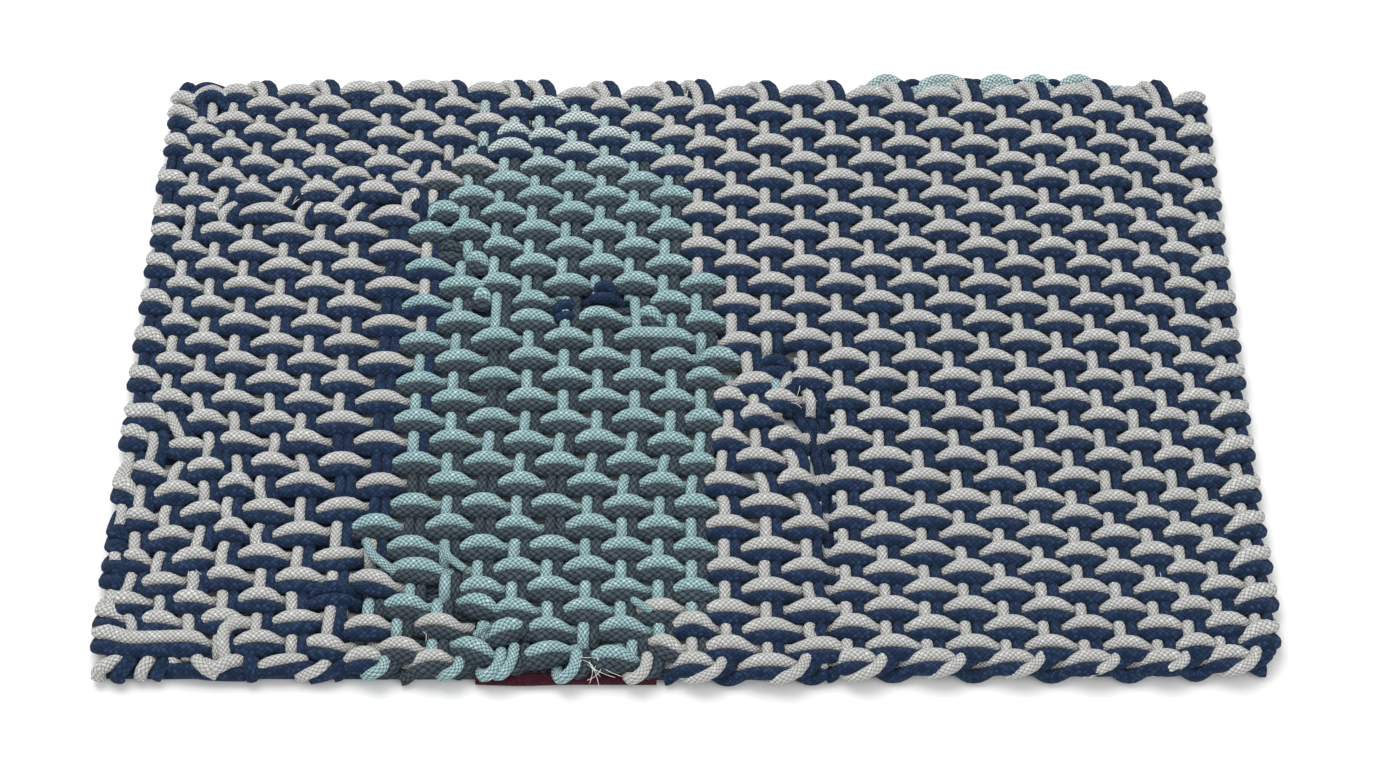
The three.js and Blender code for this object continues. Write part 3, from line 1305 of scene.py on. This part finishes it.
class Shader:
    """Builds the nodes of one material."""

    def __init__(self, name: str) -> None:
        """Makes a material whose only nodes are its shader and output.

        Args:
            name: the material's name.
        """
        self.material = bpy.data.materials.new(name)
        self.material.use_nodes = True
        self.tree = self.material.node_tree
        self.principled = self.tree.nodes["Principled BSDF"]

    def node(
        self,
        kind: str,
        settings: dict[str, str | bool],
        sockets: dict[str | int, Value],
        out: str | int = 0,
    ) -> Sock:
        """Adds any node.

        Args:
            kind: the node's type.
            settings: its own settings, which are set first.
            sockets: values or links for its sockets, by name or number.
            out: which output is wanted.

        Returns:
            The wanted output, wrapped.
        """
        node = self.tree.nodes.new(kind)
        for key, value in settings.items():
            setattr(node, key, value)
        for key, value in sockets.items():
            self.feed(node.inputs[key], value)
        return Sock(self, node.outputs[out])

    def feed(self, socket: bpy.types.NodeSocket, value: Value) -> None:
        """Links a wrapped socket, or sets a plain value.

        Args:
            socket: the socket that is fed.
            value: what feeds it.
        """
        if isinstance(value, Sock):
            self.tree.links.new(value.socket, socket)
        elif isinstance(value, tuple):
            socket.default_value = (*value, 1.0)
        else:
            socket.default_value = value

    def mix(self, share: Value, low: Value, high: Value) -> Sock:
        """Mixes two colours.

        Args:
            share: how much of the second one there is.
            low: the first colour.
            high: the second colour.

        Returns:
            The mixed colour.
        """
        settings = {"data_type": "RGBA", "clamp_factor": True}
        factor, first, second, result = 0, 6, 7, 2
        return self.node("ShaderNodeMix", settings, {factor: share, first: low, second: high}, result)

    def noise(self, places: Sock, scale: float, detail: float) -> Sock:
        """Adds soft noise."""
        return self.node("ShaderNodeTexNoise", {}, {"Vector": places, "Scale": scale, "Detail": detail})

    def surface(self, **sockets: Value) -> None:
        """Sets sockets of the shader, named with underscores for spaces."""
        for name, value in sockets.items():
            self.feed(self.principled.inputs[name.replace("_", " ")], value)


@dataclass(frozen=True)
class BraidFinish:
    """The look of a dyed braided cord.

    Plaits is how many strands cross its girth, stretch how long a braid cell is for its width, relief its
    height in metres, fuzz how much loose fibre hides the cells, and speckle how much their shades differ.
    Scales are in cells to the metre. An edge is the two places between which a value rises from 0 to 1, and
    a floor is the least that a share comes to. Gap is painted shade: the dark colour laid into the crevices
    between strands, at their ends and between their yarns.
    """

    yarn: Colour
    dark_yarn: Colour
    # Painted shade: the dark colour of the crevices between strands and yarns
    gap: Colour
    fade_to: Colour
    plaits: int = 8
    stretch: float = 0.95
    relief: float = 0.0012
    fuzz: float = 0.05
    speckle: float = 1.0
    sheen: float = 0.0
    wobble_scale: float = 420.0
    fibre_scale: float = 2600.0
    patch_scale: float = 55.0
    wobble: float = 0.55
    strand_edge: Plan = (0.0, 0.8)
    end_edge: Plan = (0.0, 0.9)
    end_floor: float = 0.45
    yarns_in_strand: float = 3.0
    yarn_edge: Plan = (0.0, 0.7)
    # The painted shade of the crevices fades out over this edge of the strand's dome
    painted_shade_edge: Plan = (0.02, 0.6)
    fuzz_cover: float = 0.6
    yarn_relief: float = 0.12
    fibre_relief: Plan = (0.2, 0.8)
    bump_strength: float = 0.9
    roughness: float = 0.95
    sheen_roughness: float = 0.5
    specular: float = 0.12
    patchiness: float = 0.7
    shade_edge: Plan = (0.2, 0.9)
    fibre_edge: Plan = (0.3, 0.6)
    # How much painted shade between the yarns shows, together with random fibre tone
    thread_weight: float = 0.225
    thread_floor: float = 0.55

    def material(self, name: str) -> bpy.types.Material:
        """Builds the material.

        The braid's strands run in two families, one rising round the cord and one falling, and a chequer
        says which of them lies on top in each cell. Besides the bump, the colour darkens to gap where a
        strand meets the next one and at its ends, as painted shade in the crevices.

        Args:
            name: the material's name.

        Returns:
            The finished material.
        """
        shader = Shader(name)
        body = shader.node("ShaderNodeTexCoord", {}, {}, "Object")
        unrolled = shader.node("ShaderNodeUVMap", {"uv_map": "Braid"}, {})
        around = shader.node("ShaderNodeSeparateXYZ", {}, {0: unrolled})
        turns = around.output("Y") * (self.plaits * self.stretch)
        wobble = (shader.noise(body, self.wobble_scale, 1.0) - 0.5) * (self.wobble * self.fuzz)
        rising = turns + around * float(self.plaits) + wobble
        falling = turns - around * float(self.plaits) + wobble
        on_top = ((rising.floor() + falling.floor()) * 0.5).fract().above(0.25)
        below = 1.0 - on_top
        across = rising.wave() * on_top + falling.wave() * below
        lengthways = falling.wave() * on_top + rising.wave() * below
        ends = self.end_floor + (1.0 - self.end_floor) * lengthways.ramp(*self.end_edge)
        dome = across.ramp(*self.strand_edge) * ends
        count = self.yarns_in_strand
        yarns = ((rising * count).wave() * on_top + (falling * count).wave() * below).ramp(*self.yarn_edge)
        fibre = shader.noise(body, self.fibre_scale, 2.0)
        colour = self.colour(shader, body, (rising, falling), yarns, fibre)
        # Painted shade: the colour turns to gap in the crevices between strands and at their ends, less where
        # fuzz covers them
        cover = self.fuzz * self.fuzz_cover
        unshaded_share = dome.ramp(*self.painted_shade_edge) * (1.0 - cover) + cover
        fibre_height = self.fibre_relief[0] + self.fibre_relief[1] * self.fuzz
        height = dome * (1.0 - cover) + yarns * self.yarn_relief + fibre * fibre_height
        relief = {"Strength": self.bump_strength, "Distance": self.relief, "Height": height}
        shader.surface(
            Base_Color=shader.mix(unshaded_share, self.gap, colour),
            Roughness=self.roughness,
            Normal=shader.node("ShaderNodeBump", {}, relief),
            Sheen_Weight=self.sheen,
            Sheen_Roughness=self.sheen_roughness,
            Specular_IOR_Level=self.specular,
        )
        return shader.material

    def colour(
        self, shader: Shader, body: Sock, strands: tuple[Sock, Sock], yarns: Sock, fibre: Sock
    ) -> Sock:
        """Colours the strands, each cell in its own random tone, with painted shade between the yarns.

        Args:
            shader: the material's builder.
            body: places on the rug.
            strands: the numbers of the rising and falling strands, with the place across each.
            yarns: how far out each yarn of a strand stands.
            fibre: fine noise.

        Returns:
            The strands' colour.
        """
        rising, falling = strands
        place = shader.node("ShaderNodeCombineXYZ", {}, {"X": rising.floor(), "Y": falling.floor()})
        cell = shader.node("ShaderNodeTexWhiteNoise", {"noise_dimensions": "2D"}, {"Vector": place})
        patchy = shader.noise(body, self.patch_scale, 3.0)
        shade = (cell * self.speckle + patchy * self.patchiness).ramp(*self.shade_edge)
        fade = shader.node("ShaderNodeAttribute", {"attribute_name": "fade"}, {}, "Fac")
        dyed = shader.mix(fade, shader.mix(shade, self.yarn, self.dark_yarn), self.fade_to)
        # Painted shade between the yarns of a strand, mixed with random fibre tone
        threads = (yarns + fibre.ramp(*self.fibre_edge)) * self.thread_weight + self.thread_floor
        return shader.mix(threads, self.gap, dyed)


# The gap of each finish is painted shade: the dark colour of the crevices between strands and yarns
FINISHES: dict[Dye, BraidFinish] = {
    Dye.GREY: BraidFinish(
        yarn=(0.82, 0.82, 0.805),
        dark_yarn=(0.62, 0.625, 0.61),
        gap=(0.27, 0.27, 0.26),
        fade_to=(0.62, 0.76, 0.76),
        speckle=1.2,
    ),
    Dye.NAVY: BraidFinish(
        yarn=(0.036, 0.076, 0.172),
        dark_yarn=(0.010, 0.027, 0.070),
        gap=(0.005, 0.012, 0.030),
        fade_to=(0.05, 0.06, 0.08),
        stretch=0.9,
        relief=0.0016,
        fuzz=0.55,
        speckle=0.6,
        sheen=0.04,
        patch_scale=320.0,
    ),
    Dye.AQUA: BraidFinish(
        yarn=(0.60, 0.80, 0.81),
        dark_yarn=(0.40, 0.57, 0.59),
        gap=(0.06, 0.14, 0.155),
        fade_to=(0.80, 0.81, 0.79),
        relief=0.0010,
        speckle=0.9,
    ),
    Dye.CHARCOAL: BraidFinish(
        yarn=(0.096, 0.130, 0.160),
        dark_yarn=(0.062, 0.084, 0.104),
        gap=(0.008, 0.011, 0.015),
        fade_to=(0.05, 0.06, 0.08),
        plaits=6,
        stretch=0.8,
        relief=0.0016,
        fuzz=0.25,
        speckle=0.6,
        sheen=0.02,
    ),
    Dye.MAROON: BraidFinish(
        yarn=(0.10, 0.012, 0.028),
        dark_yarn=(0.05, 0.008, 0.018),
        gap=(0.012, 0.003, 0.006),
        fade_to=(0.05, 0.06, 0.08),
        fuzz=0.5,
        speckle=0.5,
        sheen=0.03,
    ),
    Dye.WHITE: BraidFinish(
        yarn=(0.93, 0.93, 0.91),
        dark_yarn=(0.88, 0.88, 0.86),
        gap=(0.85, 0.85, 0.83),
        fade_to=(0.90, 0.90, 0.90),
        plaits=2,
        relief=0.0001,
        speckle=0.2,
    ),
}


@dataclass
class BakeShelves:
    """Packs each tube, unrolled, onto shelves of the unit square.

    Lengths are in turns round a cord, so that a tube lies as wide as it is long. Spare, per_tube and slack
    are room for the gaps and the unused ends of shelves.
    """

    length: float
    gap: float = 0.15
    spare: float = 1.12
    per_tube: float = 40.0
    slack: float = 1.05
    shelf_pitch: float = 1.35
    fill: float = 0.88
    shelf: int = 0
    used: float = 0.0

    def __post_init__(self) -> None:
        """Works out how many shelves hold all the cord."""
        total = self.length * self.spare + self.per_tube
        self.shelves = math.ceil(math.sqrt(total * (1 + self.gap)))
        self.wide = total / self.shelves * self.slack + 2

    def place(self, around: np.ndarray, along: np.ndarray) -> np.ndarray:
        """Gives the bake place of each corner of one tube.

        Args:
            around: the corners' places around the tube, from 0 to 1.
            along: their places along it, in turns.

        Returns:
            Rows of u and v.
        """
        length = float(along.max())
        if self.used + length + self.gap > self.wide and self.used > 0:
            self.shelf += 1
            self.used = 0.0
        u = (self.used + along) / (self.wide * self.slack)
        v = (self.shelf + self.gap / 2 + around * self.fill) / (self.shelves * self.shelf_pitch)
        self.used += length + self.gap
        return np.column_stack([np.minimum(u, 1.0), np.minimum(v, 1.0)])


@dataclass
class CordPiece:
    """All the cord of one colour in one half of the rug, swept round and joined into one mesh."""

    name: str
    dye: Dye
    runs: list[Run] = field(default_factory=list)
    sides: int = 11
    steep: float = 0.25

    @property
    def points(self) -> int:
        """How many points its runs have in all."""
        return sum(len(run.points) for run in self.runs)

    @property
    def length(self) -> float:
        """How much cord it has, in metres."""
        return sum(run.length for run in self.runs)

    def build(self) -> bpy.types.Object:
        """Builds the mesh, dresses it and sets it in the frame.

        Returns:
            The new object, in the scene.
        """
        mesh = self.sweep()
        self.add_caps(mesh)
        mesh.materials.append(FINISHES[self.dye].material(f"cord_{self.dye.value}"))
        piece = bpy.data.objects.new(self.name, mesh)
        bpy.context.scene.collection.objects.link(piece)
        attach(piece, "root")
        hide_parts("rug_body")
        return piece

    def sweep(self) -> bpy.types.Mesh:
        """Sweeps a tube along each run, with a braid map, a bake map and the fade of its dye.

        Returns:
            The mesh of all tubes, open at their ends.
        """
        verts, faces, braid, bake, fade = [], [], [], [], []
        shelves = BakeShelves(self.length / SIZES.girth)
        first = 0
        for run in self.runs:
            count = len(run.points) * self.sides
            verts.append(self.rings(run).reshape(-1, 3))
            ring_faces, around, along = self.tube_faces(run)
            faces.append(ring_faces + first)
            braid.append(np.column_stack([around, along]))
            bake.append(shelves.place(around, along))
            fade.append(np.full(count, run.fade))
            first += count
        mesh = self.fill_mesh(np.vstack(verts), np.vstack(faces))
        mesh.attributes.new("fade", "FLOAT", "POINT").data.foreach_set("value", np.concatenate(fade))
        for name, places in (("Braid", braid), ("OFBake", bake)):
            mesh.uv_layers.new(name=name).data.foreach_set("uv", np.vstack(places).ravel())
        return mesh

    def rings(self, run: Run) -> np.ndarray:
        """Places the points of each ring around a run.

        A ring lies flat across the run, and where the run is steep it lies as the nearest ring that isn't.

        Args:
            run: the run.

        Returns:
            The points, by ring and place around it, none of them below the floor.
        """
        along = np.gradient(run.points, axis=0)
        along /= np.linalg.norm(along, axis=1, keepdims=True) + TINY
        flat = np.cross(along, np.array([0.0, 0.0, 1.0]))
        level = np.flatnonzero(np.linalg.norm(flat, axis=1) > self.steep)
        if len(level):
            nearest = np.abs(np.arange(len(flat))[:, None] - level[None, :]).argmin(axis=1)
            flat = flat[level[nearest]]
        turns = np.sign((flat[1:] * flat[:-1]).sum(axis=1))
        flat[1:] *= np.cumprod(np.where(turns < 0, -1.0, 1.0))[:, None]
        flat -= along * (flat * along).sum(axis=1, keepdims=True)
        flat /= np.linalg.norm(flat, axis=1, keepdims=True) + TINY
        upward = np.cross(flat, along)
        angle = math.tau * np.arange(self.sides) / self.sides
        around = flat[:, None, :] * np.cos(angle)[None, :, None] * run.widths[:, None, None]
        around = around + upward[:, None, :] * np.sin(angle)[None, :, None] * run.heights[:, None, None]
        points = run.points[:, None, :] + around
        points[..., 2] = np.maximum(points[..., 2], 0.0)
        return points

    def tube_faces(self, run: Run) -> tuple[np.ndarray, np.ndarray, np.ndarray]:
        """Gives the four-sided faces of a tube.

        Args:
            run: the run that the tube follows.

        Returns:
            The faces, and each corner's place around the tube and along it, in turns round a cord.
        """
        ring, side = np.meshgrid(np.arange(len(run.points) - 1), np.arange(self.sides), indexing="ij")
        ring, side = ring.ravel(), side.ravel()
        after = (side + 1) % self.sides
        low = ((ring, side, side), (ring, after, side + 1))
        high = ((ring + 1, after, side + 1), (ring + 1, side, side))
        corners = (*low, *high)
        faces = np.column_stack([place * self.sides + corner for place, corner, _ in corners])
        steps = np.linalg.norm(np.diff(run.points, axis=0), axis=1)
        lengths = np.concatenate([[0.0], np.cumsum(steps)]) / SIZES.girth
        around = np.column_stack([u for _, _, u in corners]) / self.sides
        along = np.column_stack([lengths[place] for place, _, _ in corners])
        return faces, around.ravel(), along.ravel()

    def fill_mesh(self, verts: np.ndarray, faces: np.ndarray) -> bpy.types.Mesh:
        """Makes a smooth mesh.

        Args:
            verts: its points.
            faces: the four corners of each face.

        Returns:
            The new mesh.
        """
        mesh = bpy.data.meshes.new(self.name)
        mesh.vertices.add(len(verts))
        mesh.vertices.foreach_set("co", verts.ravel())
        mesh.loops.add(faces.size)
        mesh.loops.foreach_set("vertex_index", faces.ravel().astype(np.int32))
        mesh.polygons.add(len(faces))
        mesh.polygons.foreach_set("loop_start", np.arange(len(faces), dtype=np.int32) * 4)
        mesh.polygons.foreach_set("use_smooth", np.ones(len(faces), dtype=bool))
        mesh.update(calc_edges=True)
        return mesh

    def add_caps(self, mesh: bpy.types.Mesh) -> None:
        """Closes the open ends of the tubes, with faces pointing outwards.

        Args:
            mesh: the mesh to change.
        """
        work = bmesh.new()
        work.from_mesh(mesh)
        rims = [edge for edge in work.edges if edge.is_boundary]
        bmesh.ops.holes_fill(work, edges=rims, sides=self.sides)
        bmesh.ops.recalc_face_normals(work, faces=work.faces)
        work.to_mesh(mesh)
        work.free()


@dataclass(frozen=True)
class SoftLight:
    """One square lamp: place and size in metres, turn in degrees, power in watts."""

    name: str
    place: Place
    turn: Place
    size: float
    power: float

    def build(self) -> None:
        """Adds the lamp to the scene."""
        light = bpy.data.lights.new(self.name, "AREA")
        light.energy = self.power
        light.size = self.size
        lamp = bpy.data.objects.new(self.name, light)
        lamp.location = self.place
        lamp.rotation_euler = Euler([math.radians(angle) for angle in self.turn])
        bpy.context.scene.collection.objects.link(lamp)


@dataclass(frozen=True)
class Studio:
    """The plain floor, the soft lights and the camera; sizes in metres, angles in degrees."""

    lens: float = 73.5
    sensor: float = 36.0
    pitch: float = 54.47
    yaw: float = -0.15
    roll: float = 0.11
    place: Place = (0.0034, -1.3632, 1.880)
    floor_size: float = 12.0
    floor_drop: float = 0.0002
    floor_colour: Colour = (0.90, 0.90, 0.895)
    surround: float = 0.85
    lights: tuple[SoftLight, ...] = (
        SoftLight("key_light", (-0.9, 1.2, 2.6), (-22, -18, 0), 2.4, 60.0),
        SoftLight("fill_light", (1.6, -1.8, 2.4), (36, 32, 0), 2.6, 18.0),
    )

    def build(self) -> None:
        """Adds everything around the rug."""
        self.add_floor()
        for light in self.lights:
            light.build()
        self.add_surround()
        self.add_camera()

    def add_floor(self) -> None:
        """Adds a wide pale floor just under the rug."""
        bpy.ops.object.select_all(action="DESELECT")
        bpy.ops.mesh.primitive_plane_add(size=self.floor_size, location=(0, 0, -self.floor_drop))
        floor = bpy.context.object
        floor.name = "floor"
        shader = Shader("pale_floor")
        shader.surface(Base_Color=self.floor_colour, Roughness=0.8)
        floor.data.materials.append(shader.material)

    def add_surround(self) -> None:
        """Adds an even pale surround, and shows colours as they are."""
        world = bpy.data.worlds.new("surround")
        world.use_nodes = True
        glow = world.node_tree.nodes["Background"].inputs
        glow["Color"].default_value = (1.0, 1.0, 1.0, 1.0)
        glow["Strength"].default_value = self.surround
        bpy.context.scene.world = world
        bpy.context.scene.view_settings.view_transform = "Standard"

    def add_camera(self) -> None:
        """Adds the camera at the photograph's viewing angle."""
        camera = bpy.data.cameras.new("camera")
        camera.lens = self.lens
        camera.sensor_width = self.sensor
        holder = bpy.data.objects.new("camera", camera)
        holder.location = self.place
        angles = (90 - self.pitch, self.roll, -self.yaw)
        holder.rotation_euler = Euler([math.radians(angle) for angle in angles])
        bpy.context.scene.collection.objects.link(holder)
        bpy.context.scene.camera = holder


def sorted_pieces(runs: list[Run]) -> list[CordPiece]:
    """Sorts runs into pieces, by colour and for the commonest colours by the half of the rug.

    Args:
        runs: every run of cord.

    Returns:
        The pieces, the largest first.
    """
    pieces: dict[str, CordPiece] = {}
    for run in runs:
        name = f"cords_{run.dye.value}"
        if run.dye in (Dye.GREY, Dye.NAVY):
            name += "_right" if run.points[:, 0].mean() > 0 else "_left"
        if len(run.points) > 2:
            pieces.setdefault(name, CordPiece(name, run.dye)).runs.append(run)
    return sorted(pieces.values(), key=lambda piece: -piece.points)


def main() -> None:
    """Builds the rug's cords, dresses them and sets the stage."""
    logging.basicConfig(level=logging.INFO, format="%(name)s: %(message)s")
    Studio().build()
    for piece in sorted_pieces(Weaver(seed=7).weave_all()):
        obj = piece.build()
        triangles = sum(len(face.vertices) - 2 for face in obj.data.polygons)
        LOG.info("%s: %d runs, %.1f m, %d triangles", obj.name, len(piece.runs), piece.length, triangles)


if __name__ == "__main__":
    main()
